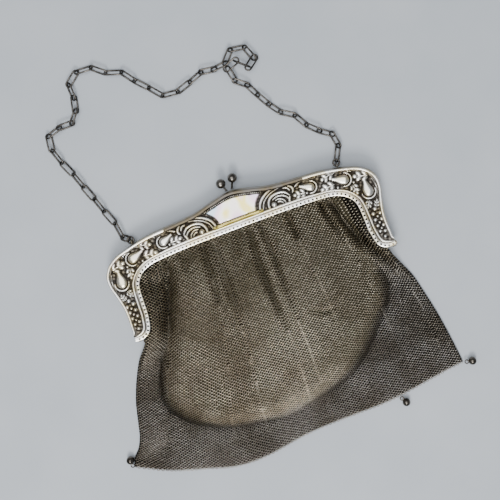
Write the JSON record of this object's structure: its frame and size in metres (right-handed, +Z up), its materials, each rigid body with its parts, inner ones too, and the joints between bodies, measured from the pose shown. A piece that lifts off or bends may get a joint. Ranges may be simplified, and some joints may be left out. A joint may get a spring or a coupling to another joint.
{
  "type": "metal mesh purse",
  "caption": "Ring-mesh purse lying flat: hinged embossed clasp frame with ball knobs, hollow draped mesh bag with a cloth lining, a long link chain and small drop balls.",
  "frame": {"origin": "on the back plate's flat face, under the middle of the frame's top bar", "axes": "+X along the frame to the right as seen from the front, +Y from the hem towards the chain, +Z up off the surface that the purse lies on"},
  "size_m": [0.187, 0.2223, 0.0114],
  "materials": {
    "frame_plate": "worn silver plate, bright on the raised work and blackened in the recesses",
    "ring_mesh": "tarnished linked rings, bronze grey with bright worn tops",
    "lining_cloth": "aged plain cloth, matt olive",
    "chain_metal": "dark oxidised wire with worn edges",
    "ball_metal": "dark grey polished balls, tarnished"
  },
  "bodies": {
    "root": {"frame_front": "frame_plate", "frame_back": "frame_plate", "hinge_pin_left": "frame_plate", "hinge_pin_right": "frame_plate", "clasp_knob_front": "ball_metal", "clasp_knob_back": "ball_metal", "mesh_bag": "ring_mesh", "lining": "lining_cloth", "jump_ring_left": "chain_metal", "end_link_left": "chain_metal", "chain_link_01": "chain_metal", "chain_link_02": "chain_metal", "chain_link_03": "chain_metal", "chain_link_04": "chain_metal", "chain_link_05": "chain_metal", "chain_link_06": "chain_metal", "chain_link_07": "chain_metal", "chain_link_08": "chain_metal", "chain_link_09": "chain_metal", "chain_link_10": "chain_metal", "chain_link_11": "chain_metal", "chain_link_12": "chain_metal", "chain_link_13": "chain_metal", "chain_link_14": "chain_metal", "chain_link_15": "chain_metal", "chain_link_16": "chain_metal", "chain_link_17": "chain_metal", "chain_link_18": "chain_metal", "chain_link_19": "chain_metal", "chain_link_20": "chain_metal", "chain_link_21": "chain_metal", "chain_link_22": "chain_metal", "chain_link_23": "chain_metal", "chain_link_24": "chain_metal", "chain_link_25": "chain_metal", "chain_link_26": "chain_metal", "chain_link_27": "chain_metal", "chain_link_28": "chain_metal", "chain_link_29": "chain_metal", "chain_link_30": "chain_metal", "chain_link_31": "chain_metal", "chain_link_32": "chain_metal", "chain_link_33": "chain_metal", "chain_link_34": "chain_metal", "chain_link_35": "chain_metal", "chain_link_36": "chain_metal", "chain_link_37": "chain_metal", "chain_link_38": "chain_metal", "chain_link_39": "chain_metal", "chain_link_40": "chain_metal", "chain_link_41": "chain_metal", "chain_link_42": "chain_metal", "jump_ring_right": "chain_metal", "drop_ball_left": "ball_metal", "drop_ball_bottom": "ball_metal", "drop_ball_right": "ball_metal"}
  },
  "joints": []
}
